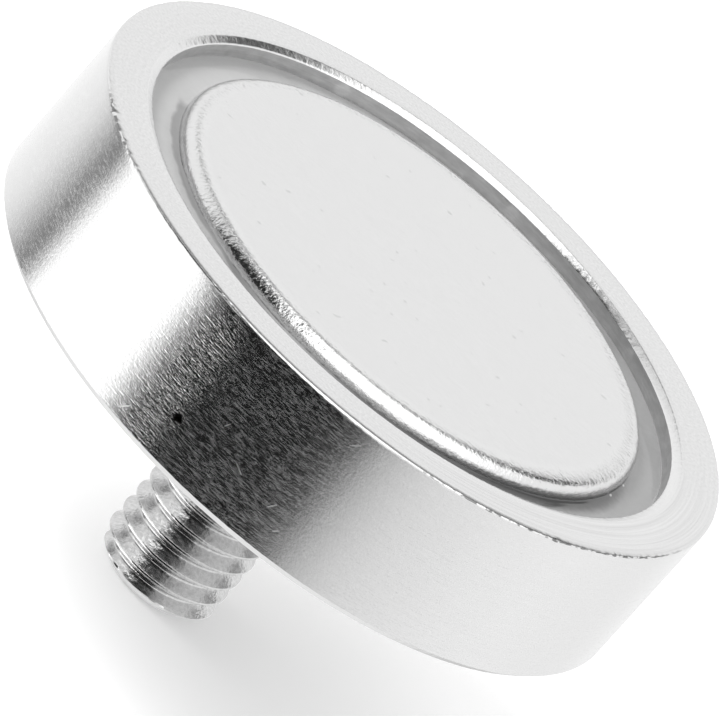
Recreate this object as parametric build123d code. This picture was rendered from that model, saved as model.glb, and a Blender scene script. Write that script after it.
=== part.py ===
from build123d import *
import os

# Pot magnet with a threaded stud, millimetres.
# Origin: centre of the pot's flat back, where the stud leaves it.
# +Z runs along the axis to the magnet face; the stud points down, along -Z.

# Steel pot: a turned cup, open at the top
pot_diameter = 43.0
pot_height = 10.0
pot_bore_diameter = 36.5
pot_floor = 4.2
bore_lip_chamfer = 0.35
rim_edge_break = 0.12
back_edge_chamfer = 0.45
bore_corner_radius = 0.5

# Magnet disc, nickel plated, cast in slightly off centre
magnet_diameter = 32.0
magnet_recess = 0.1
magnet_edge_radius = 0.8
magnet_offset_x = 0.2

# Adhesive film between the magnet and the pot floor
bond_thickness = 0.15

# Potting ring between the magnet and the pot wall
resin_drop = 1.05
resin_meniscus_rise = 0.2
resin_meniscus_width = 0.4

# Stud: flat head in the floor, ribbed press shank, plain collar, M8 thread
stud_head_diameter = 13.0
stud_head_thickness = 1.6
stud_head_edge = 0.2
shank_diameter = 8.4
shank_rib_count = 24
shank_rib_depth = 0.25
shank_rib_width = 0.6
collar_diameter = 8.0
collar_length = 1.5
stud_length = 14.4
thread_pitch = 1.25
thread_major_diameter = 7.88
thread_minor_diameter = 6.5
thread_tip_chamfer = 0.75
tip_chamfer_slope = 0.8
thread_start_angle = 176.0
ridge_sink = 0.1

# Heights that follow from the sizes above
magnet_top = pot_height - magnet_recess
magnet_bottom = pot_floor + bond_thickness
resin_top = pot_height - resin_drop
head_seat = pot_floor - stud_head_thickness
bore_radius = pot_bore_diameter / 2
magnet_radius = magnet_diameter / 2


def revolved(points):
    """Solid of revolution about Z from (radius, height) points."""
    outline = Polyline([(r, 0, z) for r, z in points], close=True)
    return revolve(make_face(outline), axis=Axis.Z)


def edges_at(solid, radius, height):
    """Circular edges of one radius at one height."""
    rings = solid.edges().filter_by(GeomType.CIRCLE)
    return [
        e
        for e in rings
        if abs(e.radius - radius) < 1e-3 and abs(e.arc_center.Z - height) < 1e-3
    ]


def make_pot():
    """Cup with a counterbore and a press hole for the stud."""
    body = Cylinder(pot_diameter / 2, pot_height, align=(Align.CENTER, Align.CENTER, Align.MIN))
    depth = pot_height - pot_floor
    bore = Pos(0, 0, pot_floor) * Cylinder(
        bore_radius, depth, align=(Align.CENTER, Align.CENTER, Align.MIN)
    )
    seat = Pos(0, 0, head_seat) * Cylinder(
        stud_head_diameter / 2, stud_head_thickness, align=(Align.CENTER, Align.CENTER, Align.MIN)
    )
    hole = Cylinder(shank_diameter / 2, head_seat, align=(Align.CENTER, Align.CENTER, Align.MIN))
    cup = body - bore - seat - hole
    cup = chamfer(edges_at(cup, pot_diameter / 2, 0), back_edge_chamfer)
    cup = chamfer(edges_at(cup, pot_diameter / 2, pot_height), rim_edge_break)
    cup = chamfer(edges_at(cup, bore_radius, pot_height), bore_lip_chamfer)
    return fillet(edges_at(cup, bore_radius, pot_floor), bore_corner_radius)


def make_magnet():
    """Flat disc with generously rounded edges."""
    height = magnet_top - magnet_bottom
    disc = Pos(magnet_offset_x, 0, magnet_bottom) * Cylinder(
        magnet_radius, height, align=(Align.CENTER, Align.CENTER, Align.MIN)
    )
    rims = edges_at(disc, magnet_radius, magnet_bottom) + edges_at(disc, magnet_radius, magnet_top)
    return fillet(rims, magnet_edge_radius)


def make_bond():
    """Adhesive film under the magnet's flat, over the stud's head."""
    radius = magnet_radius - magnet_edge_radius
    return Pos(magnet_offset_x, 0, pot_floor) * Cylinder(
        radius, bond_thickness, align=(Align.CENTER, Align.CENTER, Align.MIN)
    )


def make_potting(pot, magnet, bond):
    """Cast ring that fills the gap and climbs both walls a little."""
    rise = resin_meniscus_rise
    width = resin_meniscus_width
    outer = pot_diameter / 2 - 1.0
    slab = revolved([(0, pot_floor), (outer, pot_floor), (outer, resin_top), (0, resin_top)])
    outer_wedge = revolved(
        [
            (bore_radius - width, resin_top),
            (bore_radius, resin_top),
            (bore_radius, resin_top + rise),
            (bore_radius - width * 0.4, resin_top + rise * 0.28),
        ]
    )
    inner_wedge = revolved(
        [
            (magnet_radius - 0.1, resin_top),
            (magnet_radius + width, resin_top),
            (magnet_radius + width * 0.4, resin_top + rise * 0.28),
            (magnet_radius, resin_top + rise * 0.8),
            (magnet_radius - 0.1, resin_top + rise * 0.8),
        ]
    )
    ring = slab + outer_wedge + Pos(magnet_offset_x, 0, 0) * inner_wedge
    return ring - pot - magnet - bond


def make_thread_ridge(top, bottom):
    """One helical ridge of 60 degree section, sunk a little into the core."""
    root = thread_minor_diameter / 2
    crest = thread_major_diameter / 2
    slope = 0.5774
    crest_half = thread_pitch / 16
    base = root - ridge_sink
    base_half = crest_half + (crest - base) * slope
    spine = Helix(pitch=thread_pitch, height=top - bottom, radius=root)
    corners = [
        (base, 0, -base_half),
        (crest, 0, -crest_half),
        (crest, 0, crest_half),
        (base, 0, base_half),
    ]
    ridge = sweep(make_face(Polyline(corners, close=True)), path=spine, is_frenet=True)
    return Pos(0, 0, bottom) * Rot(0, 0, thread_start_angle) * ridge


def make_threaded_end():
    """Core and ridge, cut to length with a chamfered tip."""
    tip = -stud_length
    crest = thread_major_diameter / 2
    spare = 3 * thread_pitch
    core = Pos(0, 0, tip - spare) * Cylinder(
        thread_minor_diameter / 2, stud_length + spare, align=(Align.CENTER, Align.CENTER, Align.MIN)
    )
    ridge = make_thread_ridge(thread_pitch / 2 - collar_length, tip - thread_pitch)
    lead = crest - thread_tip_chamfer
    flare = thread_tip_chamfer + 1
    waste = revolved(
        [
            (0, tip),
            (lead, tip),
            (lead + flare, tip + flare * tip_chamfer_slope),
            (lead + flare, tip - 2 * spare),
            (0, tip - 2 * spare),
        ]
    )
    return core + ridge - waste


def make_stud():
    """Headed press-in stud: head, ribbed shank, plain collar, thread."""
    head = Pos(0, 0, head_seat) * Cylinder(
        stud_head_diameter / 2, stud_head_thickness, align=(Align.CENTER, Align.CENTER, Align.MIN)
    )
    head = chamfer(edges_at(head, stud_head_diameter / 2, pot_floor), stud_head_edge)
    shank = Cylinder(shank_diameter / 2, head_seat, align=(Align.CENTER, Align.CENTER, Align.MIN))
    groove = Pos(shank_diameter / 2, 0, head_seat / 2) * Box(
        2 * shank_rib_depth, shank_rib_width, head_seat
    )
    for index in range(shank_rib_count):
        shank -= Rot(0, 0, index * 360 / shank_rib_count) * groove
    collar = Cylinder(
        collar_diameter / 2, collar_length, align=(Align.CENTER, Align.CENTER, Align.MAX)
    )
    return head + shank + collar + make_threaded_end()


def main():
    os.makedirs("parts", exist_ok=True)
    pot = make_pot()
    magnet = make_magnet()
    bond = make_bond()
    nodes = {
        "pot": pot,
        "magnet": magnet,
        "bond": bond,
        "potting": make_potting(pot, magnet, bond),
        "stud": make_stud(),
    }
    for name, shape in nodes.items():
        solids = shape.solids()
        export_step(solids[0] if len(solids) == 1 else shape, f"parts/{name}.step")


main()
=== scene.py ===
import bpy
import bmesh
import math
from mathutils import Matrix, Vector, noise


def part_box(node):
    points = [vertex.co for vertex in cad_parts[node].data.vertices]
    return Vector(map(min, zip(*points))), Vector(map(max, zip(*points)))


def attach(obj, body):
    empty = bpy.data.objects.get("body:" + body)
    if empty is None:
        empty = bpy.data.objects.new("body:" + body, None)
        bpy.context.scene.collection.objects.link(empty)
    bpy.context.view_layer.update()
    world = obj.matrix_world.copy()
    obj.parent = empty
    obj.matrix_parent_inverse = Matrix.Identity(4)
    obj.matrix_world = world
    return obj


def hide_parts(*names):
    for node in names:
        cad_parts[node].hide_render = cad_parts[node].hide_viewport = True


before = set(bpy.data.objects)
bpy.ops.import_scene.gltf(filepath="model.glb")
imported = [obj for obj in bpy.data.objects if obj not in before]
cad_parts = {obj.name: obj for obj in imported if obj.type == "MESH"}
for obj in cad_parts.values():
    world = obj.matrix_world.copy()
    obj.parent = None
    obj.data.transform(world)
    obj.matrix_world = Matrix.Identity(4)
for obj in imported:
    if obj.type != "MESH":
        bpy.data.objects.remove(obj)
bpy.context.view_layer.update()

MM = 0.001
POT_LO, POT_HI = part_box("pot")
MAG_LO, MAG_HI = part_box("magnet")
RES_LO, RES_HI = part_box("potting")
STUD_LO, STUD_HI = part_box("stud")

# Sizes in millimetres, read from the CAD boxes
POT_R = (POT_HI[0] - POT_LO[0]) / 2 / MM
POT_H = POT_HI[2] / MM
BORE_R = (RES_HI[0] - RES_LO[0]) / 2 / MM
FLOOR_Z = RES_LO[2] / MM
MAG_R = (MAG_HI[0] - MAG_LO[0]) / 2 / MM
MAG_X = (MAG_HI[0] + MAG_LO[0]) / 2 / MM
MAG_Z0 = MAG_LO[2] / MM
MAG_Z1 = MAG_HI[2] / MM
HEAD_R = (STUD_HI[0] - STUD_LO[0]) / 2 / MM
HEAD_Z1 = STUD_HI[2] / MM
TIP_Z = STUD_LO[2] / MM

# Sizes in millimetres that no box gives
MAG_LEAN = 0.09
MAG_EDGE = 0.8
RESIN_DROP = 1.15
RES_Z = POT_H - RESIN_DROP
HEAD_THICKNESS = 1.6
HEAD_EDGE = 0.2
HEAD_Z0 = HEAD_Z1 - HEAD_THICKNESS
SHANK_R = 4.2
COLLAR_R = 4.0
COLLAR_Z = -1.5
NECK = 0.35
PITCH = 1.25
CREST_R = 3.94
ROOT_R = 3.17
CREST_HALF = 0.085
ROOT_HALF = 0.09
TIP_R = CREST_R - 0.75

# Edges of the pot
LIP_WIDTH = 0.55
LIP_DEPTH = 0.22
BACK_CHAMFER = 0.45
BORE_CORNER = 0.5
RIM_ROLL = 0.02
RIM_ROLL_HEIGHT = 0.4
# Bore lip from the rim down: shares of its width and of its depth
LIP = [(0.94, 0.02), (0.82, 0.12), (0.55, 0.39), (0.25, 0.70), (0.07, 0.92), (0.0, 1.12)]

# Vertices round the axis
POT_SEGMENTS = 1440
DISC_SEGMENTS = 720
THREAD_SEGMENTS = 180

# Material slots of the pot
WALL, RIM, BORE, EDGE, BACK = range(5)


def n3(x, y, z):
    """Smooth noise at a point, about -1 to 1."""
    return noise.noise(Vector((x, y, z)))


def smoothstep(value):
    """0 to 1, eased at both ends, and held outside them."""
    t = min(1.0, max(0.0, value))
    return t * t * (3 - 2 * t)


# ---------------------------------------------------------------- camera

def make_camera():
    """Long lens, looking down at the magnet face and rolled to the left."""
    elevation = math.radians(22.786)
    roll = math.radians(41.482)
    distance = 0.645
    aim = Vector((0.661, -2.140, 4.907)) * MM
    back = Vector((0, -math.cos(elevation), math.sin(elevation)))
    level = Vector((1, 0, 0))
    right = math.cos(roll) * level + math.sin(roll) * back.cross(level)
    up = back.cross(right)
    turn = Matrix((right, up, back)).transposed().to_4x4()
    cam = bpy.data.objects.new("camera", bpy.data.cameras.new("camera"))
    cam.data.lens = 580.4
    cam.data.sensor_width = 36.0
    cam.data.clip_start = 0.01
    cam.data.clip_end = 50.0
    cam.matrix_world = Matrix.Translation(aim + back * distance) @ turn
    bpy.context.scene.collection.objects.link(cam)
    bpy.context.scene.camera = cam


# ---------------------------------------------------------------- meshes

def finish_mesh(name, bm, mats, sharp=32.0):
    """Object from a bmesh: smooth shaded, with sharp edges above an angle in degrees."""
    bmesh.ops.recalc_face_normals(bm, faces=bm.faces)
    for face in bm.faces:
        face.smooth = True
    limit = math.radians(sharp)
    for edge in bm.edges:
        if len(edge.link_faces) == 2:
            edge.smooth = edge.calc_face_angle(0.0) < limit
    mesh = bpy.data.meshes.new(name)
    bm.to_mesh(mesh)
    bm.free()
    for mat in mats:
        mesh.materials.append(mat)
    obj = bpy.data.objects.new(name, mesh)
    bpy.context.scene.collection.objects.link(obj)
    return obj


def closed_ring(bm, section, segments, slots=None):
    """Ring about Z: section(angle) is a closed loop of (radius, height), slots[k] its k-th slot."""
    rows = []
    for i in range(segments):
        a = 2 * math.pi * i / segments
        c, s = math.cos(a), math.sin(a)
        rows.append([bm.verts.new((r * c * MM, r * s * MM, z * MM)) for r, z in section(a)])
    count = len(rows[0])
    for i in range(segments):
        a, b = rows[i], rows[(i + 1) % segments]
        for j in range(count):
            k = (j + 1) % count
            face = bm.faces.new((a[j], b[j], b[k], a[k]))
            if slots:
                face.material_index = slots[k]


def arc(cx, cz, r, a0, a1, steps):
    """Points of an arc in the (radius, height) plane, both ends included."""
    out = []
    for i in range(steps + 1):
        a = math.radians(a0 + (a1 - a0) * i / steps)
        out.append((cx + r * math.cos(a), cz + r * math.sin(a)))
    return out


def line(p, q, steps):
    """Points between p and q, without p and with q."""
    return [
        (p[0] + (q[0] - p[0]) * i / steps, p[1] + (q[1] - p[1]) * i / steps)
        for i in range(1, steps + 1)
    ]


def edge_wear(a, seed):
    """Slow and fine variation of an edge round the pot, about -1 to 1."""
    c, s = math.cos(a), math.sin(a)
    slow = n3(c * 3.1 + seed, s * 3.1, seed)
    fine = n3(c * 55 + seed, s * 55, seed * 2)
    return 0.55 * slow + 0.45 * fine


def turned(a):
    """Angle in degrees from the front (-Y), -180 to 180, for an angle a from +X."""
    return (math.degrees(a) + 270) % 360 - 180


def hump(value, centre, width):
    """Bell curve, 1 at its centre."""
    return math.exp(-((value - centre) / width) ** 2)


def nick(a, seed, threshold):
    """Depth of small dents, zero almost everywhere."""
    c, s = math.cos(a), math.sin(a)
    v = n3(c * 38 + seed, s * 38, 7.7) + 0.5 * n3(c * 9 - seed, s * 9, 3.1)
    return max(0.0, v - threshold)


def rim_break(a):
    """Outer edge break of the rim: widest in front, with two worn stretches and nicks."""
    t = turned(a)
    worn = hump(t, 48, 24) + 1.5 * hump(t, -56, 8)
    even = 0.06 + 0.055 * hump(t, 0, 17) + 0.02 * worn
    uneven = (0.07 + 0.05 * worn) * edge_wear(a, 2.0)
    return max(0.025, even + uneven) + 0.25 * nick(a, 4.0, 0.5)


def pot_stretches(a):
    """Closed section of the pot as (slot, points); a slot paints the faces up to its points."""
    brk = rim_break(a)
    lip = LIP_WIDTH + 0.04 * edge_wear(a, 9.0)
    deep = LIP_DEPTH + 0.03 * edge_wear(a, 12.0)
    low = BACK_CHAMFER + 0.045 * edge_wear(a, 15.0)
    side = POT_R - RIM_ROLL
    lip_end = (BORE_R, POT_H - deep * LIP[-1][1])
    return [
        (WALL, [(side, POT_H - brk)]),
        (EDGE, [(side - brk * 0.18, POT_H - brk * 0.55), (side - brk * 0.55, POT_H - brk * 0.18)]),
        (EDGE, [(side - brk, POT_H)]),
        (RIM, line((side - brk, POT_H), (BORE_R + lip, POT_H), 6)),
        (EDGE, [(BORE_R + lip * w, POT_H - deep * d) for w, d in LIP]),
        (BORE, line(lip_end, (BORE_R, FLOOR_Z + BORE_CORNER), 8)),
        (BORE, [(BORE_R - 0.15, FLOOR_Z + 0.15), (BORE_R - BORE_CORNER, FLOOR_Z)]),
        (BORE, [(HEAD_R, FLOOR_Z), (HEAD_R, HEAD_Z0), (SHANK_R, HEAD_Z0), (SHANK_R, 0.0)]),
        (BACK, line((SHANK_R, 0.0), (POT_R - low, 0.0), 6)),
        (EDGE, [(POT_R - low * 0.67, low * 0.33), (POT_R - low * 0.33, low * 0.67)]),
        (EDGE, [(POT_R, low)]),
        (WALL, line((POT_R, low), (POT_R, POT_H - RIM_ROLL_HEIGHT), 10)),
        (WALL, [(POT_R - RIM_ROLL * 0.16, POT_H - 0.28), (POT_R - RIM_ROLL * 0.55, POT_H - 0.18)]),
    ]


def make_pot(mats):
    """Turned cup: wall, edge breaks, faced rim, bore, floor, stud seat and back."""
    slots = [slot for slot, points in pot_stretches(0.0) for _ in points]

    def section(a):
        return [point for _, points in pot_stretches(a) for point in points]

    bm = bmesh.new()
    closed_ring(bm, section, POT_SEGMENTS, slots)
    return finish_mesh("pot_body", bm, mats)


def revolve_solid(bm, profile, segments, x0, wobble):
    """Solid about Z, centred at x0: profile runs from the axis out and back to the axis."""
    inner = profile[1:-1]
    rows = []
    for i in range(segments):
        a = 2 * math.pi * i / segments
        c, s = math.cos(a), math.sin(a)
        row = []
        for r, z in inner:
            dr, dz = wobble(a, r, z)
            row.append(bm.verts.new(((x0 + (r + dr) * c) * MM, (r + dr) * s * MM, (z + dz) * MM)))
        rows.append(row)
    first = bm.verts.new((x0 * MM, 0, profile[0][1] * MM))
    last = bm.verts.new((x0 * MM, 0, profile[-1][1] * MM))
    for i in range(segments):
        a, b = rows[i], rows[(i + 1) % segments]
        bm.faces.new((first, a[0], b[0]))
        bm.faces.new((a[-1], last, b[-1]))
        for j in range(len(inner) - 1):
            bm.faces.new((a[j], a[j + 1], b[j + 1], b[j]))


def rolled_edge(radius, flare, fade, steps):
    """Quarter turn from flat to upright that starts off flatter than a circle."""
    fine_steps = 12
    out = []
    r = z = 0.0
    for i in range(steps):
        tilt = (i + 0.5) * 90 / steps
        step = radius * (1 + flare * math.exp(-tilt / fade)) * math.radians(90 / steps)
        r += step * math.cos(math.radians(tilt))
        z += step * math.sin(math.radians(tilt))
        if i % 2 or i < fine_steps:
            out.append((r, z))
    return out


def make_magnet(mats):
    """Nickel plated disc, tumbled round at the edges before plating."""
    e = MAG_EDGE
    top = rolled_edge(0.75, 2.6, 6.0, 60)
    width, drop = top[-1]
    profile = [(0, MAG_Z1)]
    profile += line((0, MAG_Z1), (MAG_R - width, MAG_Z1), 10)
    profile += [(MAG_R - width + r, MAG_Z1 - z) for r, z in top]
    profile += line((MAG_R, MAG_Z1 - drop), (MAG_R, MAG_Z0 + e), 4)
    profile += arc(MAG_R - e, MAG_Z0 + e, e, 0, -90, 8)[1:]
    profile += [(0, MAG_Z0)]

    def wobble(a, r, z):
        c, s = math.cos(a), math.sin(a)
        lean = MAG_LEAN * r * s / MAG_R
        if r < MAG_R - e or z < MAG_Z1 - e - 0.2:
            return 0.0, lean
        d = 0.014 * n3(c * 26, s * 26, z * 2.2) + 0.008 * n3(c * 7 + 5, s * 7, z)
        return d, d * 0.4 + lean

    bm = bmesh.new()
    revolve_solid(bm, profile, DISC_SEGMENTS, MAG_X, wobble)
    return finish_mesh("magnet_disc", bm, mats)


def resin_height(a, t):
    """Top of the cast ring; t runs from the magnet (0) to the wall (1)."""
    c, s = math.cos(a), math.sin(a)
    rise = 0.14 * math.exp(-t / 0.05) + 0.03 * math.exp(-(1 - t) / 0.04)
    sag = -0.02 * math.sin(math.pi * t)
    wave = 0.03 * n3(c * 2.3 + 1, s * 2.3, t) + 0.008 * n3(c * 9, s * 9, t * 2)
    return RES_Z + rise * (1 + 0.35 * n3(c * 6, s * 6, 4.0 + round(t))) + sag + wave


def make_potting(mats):
    """Poured ring with a meniscus up the wall and up the magnet's side."""
    steps = 22
    overlap = 0.02

    def section(a):
        c, s = math.cos(a), math.sin(a)
        # distance from the pot's axis to the magnet's side in this direction
        side = MAG_X * c + math.sqrt(MAG_R ** 2 - (MAG_X * s) ** 2)
        inner = side - 0.03
        outer = BORE_R + overlap
        bottom = FLOOR_Z + overlap
        pts = []
        for i in range(steps + 1):
            t = 0.5 - 0.5 * math.cos(math.pi * (i / steps))
            pts.append((inner + (outer - inner) * t, resin_height(a, t)))
        pts += [(outer, FLOOR_Z + BORE_CORNER), (outer - BORE_CORNER, bottom)]
        pts += [(inner - 0.3, bottom), (inner - 0.3, MAG_Z0 + 0.3), (inner, MAG_Z0 + 1.2)]
        return pts

    bm = bmesh.new()
    closed_ring(bm, section, DISC_SEGMENTS)
    return finish_mesh("potting_ring", bm, mats)


def thread_radius(u):
    """Rolled 60 degree profile; u is the height from the crest's middle."""
    u = abs(u)
    round_off = 0.015
    fillet = 0.03
    root = PITCH / 2 - ROOT_HALF
    if u < CREST_HALF:
        return CREST_R - round_off * (u / CREST_HALF) ** 8
    if u < root:
        f = (u - CREST_HALF) / (root - CREST_HALF)
        return CREST_R - round_off - (CREST_R - round_off - ROOT_R - fillet) * f
    return ROOT_R + fillet * max(0.0, 1 - (u - root) / 0.06) ** 2


def profile_stops():
    """Heights within one pitch where the thread's section has a vertex."""
    root = PITCH / 2 - ROOT_HALF
    half = [0.0, 0.05, 0.07, 0.08, CREST_HALF, CREST_HALF + 0.01]
    half += [CREST_HALF + (root - CREST_HALF) * f for f in (0.2, 0.4, 0.6, 0.8, 1.0)]
    half += [root + 0.02, root + 0.04, root + 0.06, PITCH / 2]
    return sorted(set([-h for h in half] + half))


def thread_point(a, z, u):
    """Surface of the threaded end, with its run-out to the neck and its chamfered tip."""
    fade = smoothstep((COLLAR_Z - 0.05 - z) / 1.1)
    r = CREST_R - (CREST_R - thread_radius(u)) * fade
    cone = TIP_R + (z - TIP_Z) / 0.8
    run_out = min(1.0, max(0.0, (COLLAR_Z - 1.0 - z) / 0.9))
    neck = COLLAR_R - NECK + (CREST_R - COLLAR_R + NECK) * run_out
    r = min(r, cone, neck) + 0.006 * n3(math.cos(a) * 9, math.sin(a) * 9, z * 1.7)
    return (r * math.cos(a) * MM, r * math.sin(a) * MM, z * MM)


def thread_surface(bm):
    """One helical sheet whose turns share their vertices, longer than the thread."""
    per_turn = THREAD_SEGMENTS
    phase = math.radians(3.02)
    start = math.floor((COLLAR_Z + PITCH) / PITCH) * PITCH
    total = per_turn * (int((COLLAR_Z - TIP_Z) / PITCH) + 4)
    stops = profile_stops()
    last = len(stops) - 1
    grid = []
    for i in range(total + 1):
        a = phase - 2 * math.pi * i / per_turn
        crest = start - PITCH * i / per_turn
        own = stops[:last] if i >= per_turn else stops
        column = [bm.verts.new(thread_point(a, crest + u, u)) for u in own]
        if i >= per_turn:
            column.append(grid[i - per_turn][0])
        grid.append(column)
    for a, b in zip(grid, grid[1:]):
        for j in range(last):
            quad = (a[j], b[j], b[j + 1], a[j + 1])
            if len(set(quad)) == 4:
                bm.faces.new(quad)


def make_stud(mats):
    """Threaded end with run-out, chamfered tip, plain collar, shank and head."""
    bm = bmesh.new()
    thread_surface(bm)
    for z, outward in ((COLLAR_Z, 1), (TIP_Z, -1)):
        geom = list(bm.verts) + list(bm.edges) + list(bm.faces)
        bmesh.ops.bisect_plane(
            bm, geom=geom, dist=1e-8, plane_co=(0, 0, z * MM), plane_no=(0, 0, outward),
            clear_outer=True,
        )
    bmesh.ops.remove_doubles(bm, verts=bm.verts, dist=2e-7)
    middle = (COLLAR_Z + TIP_Z) / 2 * MM
    open_edges = [e for e in bm.edges if e.is_boundary]
    top = [e for e in open_edges if e.verts[0].co.z > middle]
    low = [e for e in open_edges if e.verts[0].co.z < middle]
    neck = COLLAR_R - 0.33
    collar = [
        (neck, COLLAR_Z + 0.02), (neck, -0.3), (COLLAR_R, -0.05),
        (COLLAR_R, 0.0), (SHANK_R, 0.0), (SHANK_R, HEAD_Z0), (HEAD_R, HEAD_Z0),
        (HEAD_R, HEAD_Z1 - HEAD_EDGE), (HEAD_R - HEAD_EDGE, HEAD_Z1), (0.0, HEAD_Z1),
    ]
    extend_loop(bm, top, collar)
    dish = TIP_Z + 0.05
    tip = [(TIP_R - 0.12, TIP_Z), (TIP_R - 0.5, TIP_Z + 0.03), (TIP_R * 0.55, dish), (0.0, dish)]
    extend_loop(bm, low, tip)
    return finish_mesh("stud_thread", bm, mats, 24.0)


def extend_loop(bm, edges, profile):
    """Grows a closed loop of edges through (radius, height) rings, ending on the axis."""
    for r, z in profile[:-1]:
        made = bmesh.ops.extrude_edge_only(bm, edges=edges)["geom"]
        edges = [g for g in made if isinstance(g, bmesh.types.BMEdge)]
        for v in {v for e in edges for v in e.verts}:
            a = math.atan2(v.co.y, v.co.x)
            v.co = Vector((r * math.cos(a) * MM, r * math.sin(a) * MM, z * MM))
    centre = bm.verts.new((0, 0, profile[-1][1] * MM))
    for e in edges:
        bm.faces.new((e.verts[0], e.verts[1], centre))


# ------------------------------------------------------------- materials

class Nodes:
    """Short names for building a node tree from noises, masks, sums and products."""

    def __init__(self, tree):
        self.tree = tree
        tree.nodes.clear()

    def add(self, kind, **settings):
        node = self.tree.nodes.new(kind)
        for key, value in settings.items():
            setattr(node, key, value)
        return node

    def feed(self, socket, value):
        """Sets a socket when the value is a number, and links it otherwise."""
        if isinstance(value, (int, float)):
            socket.default_value = value
        else:
            self.tree.links.new(value, socket)

    def math(self, op, *values):
        node = self.add("ShaderNodeMath", operation=op)
        for i, value in enumerate(values):
            self.feed(node.inputs[i], value)
        return node.outputs[0]

    def total(self, first, *others):
        for other in others:
            first = self.math("ADD", first, other)
        return first

    def product(self, first, *others):
        for other in others:
            first = self.math("MULTIPLY", first, other)
        return first

    def minus(self, a, b):
        return self.math("SUBTRACT", a, b)

    def inverse(self, mask):
        return self.math("SUBTRACT", 1.0, mask)

    def blend(self, *pairs):
        """Sum of values, each times its weight."""
        return self.total(*[self.product(value, weight) for value, weight in pairs])

    def mix(self, fac, a, b):
        node = self.add("ShaderNodeMix", data_type="FLOAT", clamp_factor=True)
        for i, value in ((0, fac), (2, a), (3, b)):
            self.feed(node.inputs[i], value)
        return node.outputs[0]

    def rise(self, value, low, high):
        """0 below low, 1 above high, soft between."""
        node = self.add("ShaderNodeMapRange", interpolation_type="SMOOTHSTEP")
        self.feed(node.inputs["Value"], value)
        self.feed(node.inputs["From Min"], low)
        self.feed(node.inputs["From Max"], high)
        return node.outputs["Result"]

    def fall(self, value, low, high):
        """1 below low, 0 above high, soft between."""
        return self.inverse(self.rise(value, low, high))

    def ramp(self, fac, stops):
        """Grey levels at positions, straight between them."""
        node = self.add("ShaderNodeValToRGB")
        elements = node.color_ramp.elements
        while len(elements) > 1:
            elements.remove(elements[-1])
        for i, (position, grey) in enumerate(stops):
            element = elements.new(position) if i else elements[0]
            element.position = position
            element.color = (grey, grey, grey, 1)
        self.feed(node.inputs[0], fac)
        return node.outputs[0]

    def shade(self, fac, low, high):
        """Grey from low to high."""
        return self.ramp(fac, [(0.0, low), (1.0, high)])

    def split(self, vector):
        node = self.add("ShaderNodeSeparateXYZ")
        self.feed(node.inputs[0], vector)
        return node.outputs

    def vec(self, x, y, z):
        node = self.add("ShaderNodeCombineXYZ")
        for i, value in enumerate((x, y, z)):
            self.feed(node.inputs[i], value)
        return node.outputs[0]

    def vector_math(self, op, vector, by):
        node = self.add("ShaderNodeVectorMath", operation=op)
        self.feed(node.inputs[0], vector)
        node.inputs[1].default_value = by
        return node.outputs[0]

    def noise(self, vector, detail, rough):
        node = self.add("ShaderNodeTexNoise")
        self.feed(node.inputs["Vector"], vector)
        self.feed(node.inputs["Scale"], 1.0)
        self.feed(node.inputs["Detail"], detail)
        self.feed(node.inputs["Roughness"], rough)
        return node.outputs["Fac"]

    def bump(self, height, strength, distance):
        node = self.add("ShaderNodeBump")
        self.feed(node.inputs["Height"], height)
        self.feed(node.inputs["Strength"], strength)
        self.feed(node.inputs["Distance"], distance)
        return node.outputs[0]


class Surface(Nodes):
    """Principled material; textures are linked over its plain values."""

    def __init__(self, name, metallic, rough, colour):
        self.material = bpy.data.materials.new(name)
        self.material.use_nodes = True
        super().__init__(self.material.node_tree)
        self.bsdf = self.add("ShaderNodeBsdfPrincipled")
        out = self.add("ShaderNodeOutputMaterial")
        self.feed(out.inputs[0], self.bsdf.outputs[0])
        self.put("Metallic", metallic)
        self.put("Roughness", rough)
        self.bsdf.inputs["Base Color"].default_value = (*colour, 1)
        self.coord = self.add("ShaderNodeTexCoord").outputs["Object"]

    def put(self, name, value):
        self.feed(self.bsdf.inputs[name], value)

    def grain(self, x, y, z, detail=2.0, rough=0.5):
        """Noise with its cells per metre given along each axis."""
        return self.noise(self.vector_math("MULTIPLY", self.coord, (x, y, z)), detail, rough)


def distance_from_axis(n, coord):
    x, y, _ = n.split(coord)
    return n.math("SQRT", n.total(n.product(x, x), n.product(y, y)))


def faced_rings(n, per_metre, sway):
    """Turning marks on a flat face; sway lets them vary along their length."""
    x, y, _ = n.split(n.coord)
    r = distance_from_axis(n, n.coord)
    along = n.product(n.math("DIVIDE", x, r), sway)
    across = n.product(n.math("DIVIDE", y, r), sway)
    return n.noise(n.vec(n.product(r, per_metre), along, across), 2.0, 0.6)


def round_the_axis(n):
    """(arc length from the front, height, 0) in millimetres on the pot's wall."""
    x, y, z = n.split(n.coord)
    angle = n.math("ARCTAN2", x, n.product(y, -1.0))
    return n.vec(n.product(angle, POT_R), n.product(z, 1000.0), 0.0)


def mark(n, vector, place, turn, length, width):
    """Soft elliptical mask, 1 inside, at a place given in the vector's own units."""
    at = n.add("ShaderNodeMapping", vector_type="TEXTURE")
    n.feed(at.inputs["Vector"], vector)
    at.inputs["Location"].default_value = (*place, 0.0)
    at.inputs["Rotation"].default_value = (0, 0, math.radians(turn))
    at.inputs["Scale"].default_value = (length, width, 1)
    size = n.add("ShaderNodeVectorMath", operation="LENGTH")
    n.feed(size.inputs[0], at.outputs[0])
    return n.fall(size.outputs["Value"], 0.7, 1.3)


def marks(n, vector, spots):
    """Sum of several marks."""
    return n.total(*[mark(n, vector, *spot) for spot in spots])


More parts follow.
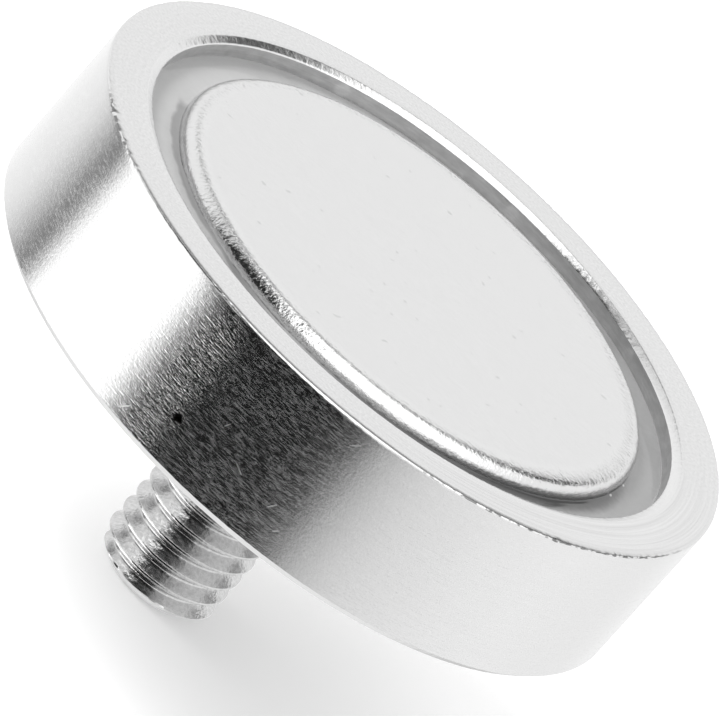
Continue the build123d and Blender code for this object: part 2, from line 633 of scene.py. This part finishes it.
# Marks on the wall: (arc from the front, height), turn, half length, half width
SCRATCHES = [
    ((3.65, 8.9), 38, 0.30, 0.035),
    ((2.40, 3.05), 55, 0.28, 0.030),
    ((3.50, 2.05), 40, 0.22, 0.030),
    ((-0.25, 3.45), -28, 0.35, 0.025),
    ((-7.30, 1.25), 48, 0.35, 0.035),
    ((5.20, 4.5), 10, 0.07, 0.060),
    ((-2.30, 4.9), 62, 0.20, 0.025),
]
# the pit is a real hollow, painted nearly black: painted shade in it
PIT = ((-4.60, 3.1), 4, 0.29, 0.24)

# Glue smears in the bore: (arc from the front, height), turn, half length, half width
GLUE = [
    ((52.2, 9.2), 90, 0.45, 0.5),
    ((65.6, 9.3), 90, 0.50, 0.5),
    ((-54.8, 9.3), 90, 0.45, 0.6),
]

# Specks on the resin: (x, y), turn, half length, half width
RESIN_SPECKS = [
    ((16.10, -2.6), 80, 0.15, 0.07),
    ((16.32, -0.3), 88, 0.13, 0.06),
]


def wall_material():
    """Nickel brushed round the axis: short streaks, hazy patches, scratches, and a pit whose shade
    is painted dark.
    """
    n = Surface("nickel_wall", 1.0, 0.1, (0.78, 0.78, 0.78))
    streak = n.grain(1900, 1900, 14500, 3.0, 0.65)
    longer = n.grain(520, 520, 9000)
    lumps = n.grain(5600, 5600, 7600, rough=0.6)
    cloud = n.grain(160, 160, 240)
    flat = round_the_axis(n)
    tall = n.split(flat)[1]
    scratch = marks(n, flat, SCRATCHES)
    pit_shade = mark(n, flat, *PIT)

    relief = n.blend((streak, 0.13), (longer, 0.10), (lumps, 0.14))
    n.put("Normal", n.bump(relief, 1.0, 0.04 * MM))

    # streaks are duller low on the wall than near the rim
    brushed = n.ramp(n.blend((streak, 0.6), (longer, 0.4)), [(0.42, 0.0), (0.66, 1.0)])
    dull = n.minus(0.14, n.product(n.rise(tall, 6.5, 9.6), 0.05))
    rough = n.blend((brushed, dull), (cloud, 0.07), (scratch, 0.35))
    n.put("Roughness", n.total(rough, 0.03))

    # a small diffuse share lifts some streaks out of the dark reflection
    grime = n.blend((streak, 0.65), (lumps, 0.25), (cloud, 0.1))
    haze = n.ramp(grime, [(0.475, 0.0), (0.62, 1.0)])
    n.put("Metallic", n.inverse(n.product(haze, 0.125)))

    tone = n.shade(streak, 0.785, 0.815)
    # painted shade: the pit's colour is nearly black
    n.put("Base Color", n.product(tone, n.inverse(n.product(pit_shade, 0.97))))
    return n.material


def rim_material():
    """Nickel on a faced rim: fine grain, with turning rings on the right in front."""
    n = Surface("nickel_rim", 1.0, 0.3, (0.78, 0.78, 0.78))
    rings = faced_rings(n, 5200, 1.2)
    grain = n.total(n.product(n.grain(5200, 5200, 5200), 0.5), 0.25)
    x, y, _ = n.split(n.coord)
    ringed = n.product(n.rise(x, 2 * MM, 12 * MM), n.fall(y, -3 * MM, 8 * MM))
    finish = n.mix(n.total(n.product(ringed, 0.6), 0.12), grain, rings)
    n.put("Normal", n.bump(finish, 0.28, 0.03 * MM))
    n.put("Roughness", n.total(n.product(finish, 0.12), 0.12))
    n.put("Base Color", n.ramp(finish, [(0.34, 0.70), (0.60, 0.835)]))
    return n.material


def bore_material():
    """Turned bore, duller than the outside, with smears of glue."""
    n = Surface("nickel_bore", 1.0, 0.4, (0.6, 0.6, 0.6))
    rings = n.grain(260, 260, 7000, rough=0.6)
    patches = n.grain(900, 900, 2400, 3.0, 0.6)
    glue = marks(n, round_the_axis(n), GLUE)
    n.put("Normal", n.bump(rings, 0.3, 0.04 * MM))
    n.put("Roughness", n.total(n.blend((rings, 0.2), (glue, 0.2)), 0.26))
    tone = n.total(n.shade(rings, 0.54, 0.76), n.product(glue, 0.1))
    n.put("Base Color", n.total(tone, n.product(n.minus(patches, 0.5), 0.35)))
    return n.material


def edge_material():
    """Broken edges: bright and slightly rough, with dirt on two stretches of the rim's edge."""
    n = Surface("nickel_edge", 1.0, 0.22, (0.85, 0.85, 0.85))
    grain = n.grain(3500, 3500, 3500, rough=0.6)
    n.put("Normal", n.bump(grain, 0.35, 0.04 * MM))
    n.put("Roughness", n.total(n.product(grain, 0.2), 0.12))
    x, y, z = n.split(n.coord)
    specks = n.ramp(n.grain(1500, 1500, 2600, rough=0.6), [(0.46, 0.0), (0.54, 1.0)])
    right = n.product(n.rise(x, 4 * MM, 10 * MM), n.fall(y, -8 * MM, -3 * MM))
    left = n.product(n.fall(x, -16.5 * MM, -15 * MM), n.fall(y, -10.5 * MM, -8.5 * MM))
    dirt = n.product(specks, n.product(n.total(right, left), 0.7))
    outside = n.rise(distance_from_axis(n, n.coord), (POT_R - 1.5) * MM, (POT_R - 1) * MM)
    dirt = n.product(dirt, outside, n.rise(z, 5 * MM, 6 * MM))
    n.put("Base Color", n.product(n.shade(grain, 0.78, 0.9), n.inverse(dirt)))
    return n.material


def back_material():
    """Faced back with shallow rings."""
    n = Surface("nickel_back", 1.0, 0.3, (0.75, 0.75, 0.75))
    rings = faced_rings(n, 3600, 1.0)
    n.put("Normal", n.bump(rings, 0.08, 0.04 * MM))
    n.put("Roughness", n.total(n.product(rings, 0.12), 0.02))
    n.put("Base Color", n.shade(rings, 0.74, 0.84))
    return n.material


def magnet_material():
    """Plated magnet: smooth satin face, orange peel on the rounded edge, painted shade low on the
    side.
    """
    n = Surface("nickel_magnet", 1.0, 0.25, (0.78, 0.78, 0.78))
    peel = n.grain(4300, 4300, 4300, 3.0, 0.6)
    soft = n.grain(420, 420, 420)
    scuff = n.grain(900, 5200, 900, rough=0.6)
    dots = n.ramp(n.grain(1500, 1500, 1500, 0.0), [(0.79, 0.0), (0.84, 1.0)])
    x, _, z = n.split(n.coord)
    r = distance_from_axis(n, n.coord)
    outer = n.rise(r, (MAG_R - 1.7) * MM, (MAG_R - 0.7) * MM)
    relief = n.product(peel, n.total(n.product(outer, 0.9), 0.12))
    n.put("Normal", n.bump(relief, 1.0, 0.04 * MM))
    n.put("Roughness", n.total(n.blend((peel, 0.12), (soft, 0.08), (outer, -0.11)), 0.08))

    # painted shade on the side below a ragged line, higher towards +X
    level = n.total(z, n.product(n.minus(peel, 0.5), 0.4 * MM))
    level = n.minus(level, n.product(n.rise(x, 4 * MM, 11 * MM), 0.3 * MM))
    above_side_shade = n.rise(level, (MAG_Z1 - 0.98) * MM, (MAG_Z1 - 0.86) * MM)
    # painted shade: below the line the side's colour is darker, with dark dots in it
    painted_side_shade = n.total(n.product(above_side_shade, 0.45), n.minus(0.55, n.product(dots, 0.12)))
    tone = n.shade(n.blend((soft, 0.6), (scuff, 0.4)), 0.755, 0.835)
    n.put("Base Color", n.product(tone, painted_side_shade))
    return n.material


def resin_painted_shade(n, cloud, speck):
    """Painted shade on the resin by the magnet: wide in front, mostly on the right, and thin on the
    left.
    """
    x, y, _ = n.split(n.coord)
    r = distance_from_axis(n, n.vector_math("ADD", n.coord, (-MAG_X * MM, 0, 0)))

    reach = n.total(r, n.product(n.minus(speck, 0.5), 0.2 * MM))
    reach = n.total(reach, n.product(n.rise(y, -6 * MM, 5 * MM), 1.1 * MM))
    right = n.product(
        n.fall(reach, (MAG_R + 0.35) * MM, (MAG_R + 1.15) * MM),
        n.fall(y, 3 * MM, 6 * MM),
        n.total(n.product(n.rise(x, -4 * MM, 4 * MM), 0.5), 0.15),
    )

    reach = n.total(r, n.product(n.minus(cloud, 0.5), 1.0 * MM))
    reach = n.minus(reach, n.product(n.rise(y, -11 * MM, -3 * MM), 0.3 * MM))
    left = n.product(
        n.fall(reach, (MAG_R + 0.15) * MM, (MAG_R + 0.5) * MM),
        n.fall(y, -1.6 * MM, -0.2 * MM),
        n.minus(0.5, n.product(n.rise(x, -8 * MM, -2 * MM), 0.5)),
    )
    return n.math("MAXIMUM", right, left)


def resin_material():
    """Cast epoxy, light grey and glossy, with faint clouds, painted shade by the magnet and two
    specks.
    """
    n = Surface("epoxy_resin", 0.0, 0.08, (0.46, 0.46, 0.46))
    cloud = n.grain(260, 260, 260, 3.0, 0.55)
    speck = n.grain(2600, 2600, 2600)
    spots = marks(n, n.vector_math("MULTIPLY", n.coord, (1000, 1000, 0)), RESIN_SPECKS)
    n.put("Normal", n.bump(n.total(cloud, n.product(speck, 0.1)), 0.04, 0.1 * MM))
    n.put("Roughness", n.total(n.product(speck, 0.10), 0.03))
    tone = n.shade(n.blend((cloud, 0.75), (speck, 0.25)), 0.34, 0.44)
    to_the_right = n.rise(n.split(n.coord)[0], -8 * MM, 12 * MM)
    tone = n.minus(tone, n.product(to_the_right, 0.09))
    # painted shade by the magnet darkens the resin's colour here
    tone = n.product(tone, n.inverse(resin_painted_shade(n, cloud, speck)))
    n.put("Base Color", n.total(tone, n.product(spots, 0.45)))
    return n.material


def bond_material():
    """Adhesive film under the magnet."""
    n = Surface("adhesive", 0.0, 0.6, (0.7, 0.66, 0.52))
    cloud = n.grain(500, 500, 500, 3.0, 0.55)
    n.put("Normal", n.bump(cloud, 0.2, 0.1 * MM))
    n.put("Roughness", n.total(n.product(cloud, 0.2), 0.5))
    return n.material


def stud_material():
    """Bright zinc on a rolled thread: satin, slightly cloudy."""
    n = Surface("zinc_stud", 1.0, 0.3, (0.72, 0.72, 0.72))
    cloud = n.grain(700, 700, 900, 3.0, 0.55)
    fine = n.grain(3800, 3800, 5200, rough=0.6)
    n.put("Normal", n.bump(n.total(cloud, n.product(fine, 0.8)), 0.4, 0.06 * MM))
    n.put("Roughness", n.total(n.blend((cloud, 0.14), (fine, 0.10)), 0.05))
    n.put("Base Color", n.shade(fine, 0.50, 0.84))
    return n.material


# ---------------------------------------------------------- stage, light

# Brightness of the studio by azimuth in degrees, 0 in front (-Y) and positive towards +X:
# RING from the horizon to 30 degrees below it, UNDER in the narrower band below that
RING = [
    (-180, 1.0), (-164, 1.05), (-140, 0.98), (-130, 0.93), (-122, 0.80), (-112, 0.50),
    (-106, 0.26), (-102, 0.26), (-97, 0.66), (-92, 1.3), (-50, 1.4), (-46, 1.0), (-42, 0.3),
    (-37, 0.01), (6, 0.01), (15, 0.04), (20, 0.14), (28, 0.5), (36, 0.7), (44, 0.81),
    (52, 0.88), (76, 0.99), (100, 1.03), (140, 0.97), (180, 1.0),
]
UNDER = [
    (-180, 0.8), (-125, 0.72), (-106, 0.85), (-99, 3.0), (-31, 3.0), (-27, 0.16),
    (3, 0.16), (13, 0.36), (40, 0.5), (100, 0.58), (112, 0.36), (180, 0.7),
]


def make_floor():
    """Plain white floor at the stud's tip."""
    bm = bmesh.new()
    bmesh.ops.create_grid(bm, x_segments=1, y_segments=1, size=4.0)
    bmesh.ops.translate(bm, verts=bm.verts, vec=(0, 0, TIP_Z * MM))
    n = Surface("white_floor", 0.0, 0.9, (0.86, 0.86, 0.86))
    n.bsdf.inputs["Emission Color"].default_value = (1, 1, 1, 1)
    n.put("Emission Strength", 0.22)
    n.put("Specular IOR Level", 0.0)
    floor = finish_mesh("floor", bm, [n.material])
    floor.visible_glossy = False


def upper_studio(n, x, y, z):
    """Brightness above the horizon: one big softbox, and panels that darken parts of the room."""
    deg = math.radians
    over = n.math("ARCTAN2", z, y)
    near_left = n.minus(x, n.product(y, 0.21))
    far_left = n.minus(x, n.product(y, 0.72))
    far_right = n.total(x, n.product(y, 0.72))
    box = n.product(
        n.rise(near_left, -0.32, -0.25), n.fall(far_right, 0.68, 0.82),
        n.rise(over, deg(47), deg(53)), n.fall(over, deg(163), deg(172)),
    )
    level = n.mix(box, 1.0, n.mix(n.rise(z, 0.35, 0.5), 0.95, 1.5))

    behind = n.product(n.rise(over, deg(31), deg(34)), n.fall(over, deg(45), deg(50)))
    slope = n.total(n.product(x, deg(40)), deg(45))
    end = n.total(far_left, n.product(n.fall(y, -0.15, 0.02), 0.17))
    raised = n.rise(over, deg(36), deg(46))
    gap = n.product(behind, n.rise(x, -0.3, -0.2), n.fall(x, 0.46, 0.56))
    wedge = n.product(
        n.rise(over, deg(31), deg(34)), n.fall(n.minus(over, slope), deg(-2), deg(3)),
        n.rise(x, 0.12, 0.2), n.fall(x, 0.46, 0.56),
    )
    left = n.product(
        n.fall(near_left, -0.32, -0.26), n.rise(end, -0.70, -0.60), raised, n.rise(z, 0.0, 0.12),
    )
    far = n.product(
        n.fall(end, -0.62, -0.56), n.rise(end, -0.98, -0.78), raised, n.rise(z, 0.25, 0.45),
    )
    front = n.product(
        n.rise(x, -0.55, -0.45), n.fall(x, 0.08, 0.4), n.fall(y, -0.25, -0.05),
        n.fall(z, 0.26, 0.42),
    )
    low_behind = n.product(n.rise(y, 0.2, 0.5), n.fall(z, 0.1, 0.3))
    for panel, depth in (
        (gap, 0.75), (wedge, 0.93), (left, 0.97), (far, 0.14), (front, 0.98), (low_behind, 0.14),
    ):
        level = n.product(level, n.inverse(n.product(panel, depth)))
    return level


def make_world():
    """Soft white studio with dark gaps, which only reflections show."""
    world = bpy.data.worlds.new("studio")
    bpy.context.scene.world = world
    world.use_nodes = True
    n = Nodes(world.node_tree)
    x, y, z = n.split(n.add("ShaderNodeTexCoord").outputs["Generated"])
    azimuth = n.math("ARCTAN2", x, n.product(y, -1.0))
    turn = n.total(n.math("DIVIDE", azimuth, 2 * math.pi), 0.5)
    ring, under = (
        n.ramp(turn, [(degrees / 360 + 0.5, level) for degrees, level in stops])
        for stops in (RING, UNDER)
    )
    seen = n.mix(n.rise(z, -0.14, -0.02), ring, upper_studio(n, x, y, z))
    seen = n.mix(n.fall(z, -0.54, -0.46), seen, under)
    straight_below = n.mix(n.fall(x, -0.25, -0.15), 0.92, 1.3)
    straight_below = n.mix(n.rise(y, 0.3, 0.42), straight_below, 0.93)
    seen = n.mix(n.fall(z, -0.74, -0.66), seen, straight_below)

    # diffuse light is even, and the camera sees plain white behind the object
    path = n.add("ShaderNodeLightPath")
    seen = n.mix(path.outputs["Is Diffuse Ray"], seen, 1.0)
    seen = n.mix(path.outputs["Is Camera Ray"], seen, 1.05)
    back = n.add("ShaderNodeBackground")
    n.feed(back.inputs["Color"], seen)
    out = n.add("ShaderNodeOutputWorld")
    n.feed(out.inputs[0], back.outputs[0])


def make_key_light():
    """Soft light from the upper left, for the shadow on the floor."""
    light = bpy.data.lights.new("key", "AREA")
    light.shape = "DISK"
    light.size = 0.16
    light.energy = 0.9
    place = Vector((-0.27, -0.02, 0.20))
    target = Vector((0, 0, -0.01))
    obj = bpy.data.objects.new("key", light)
    obj.location = place
    obj.rotation_euler = (target - place).to_track_quat("-Z", "Y").to_euler()
    obj.visible_glossy = False
    obj.visible_camera = False
    bpy.context.scene.collection.objects.link(obj)


def main():
    make_camera()
    view = bpy.context.scene.view_settings
    view.view_transform = "Standard"
    view.look = "None"
    pot_materials = [
        wall_material(), rim_material(), bore_material(), edge_material(), back_material(),
    ]
    pot = make_pot(pot_materials)
    magnet = make_magnet([magnet_material()])
    resin = make_potting([resin_material()])
    stud = make_stud([stud_material()])
    for obj, node, slot in (
        (pot, "pot", "pot_nickel"),
        (magnet, "magnet", "magnet_nickel"),
        (resin, "potting", "resin"),
        (stud, "stud", "stud_zinc"),
    ):
        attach(obj, "root")
        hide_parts(node)
    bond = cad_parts["bond"]
    bond.data.materials.clear()
    bond.data.materials.append(bond_material())
    make_floor()
    make_world()
    make_key_light()


main()
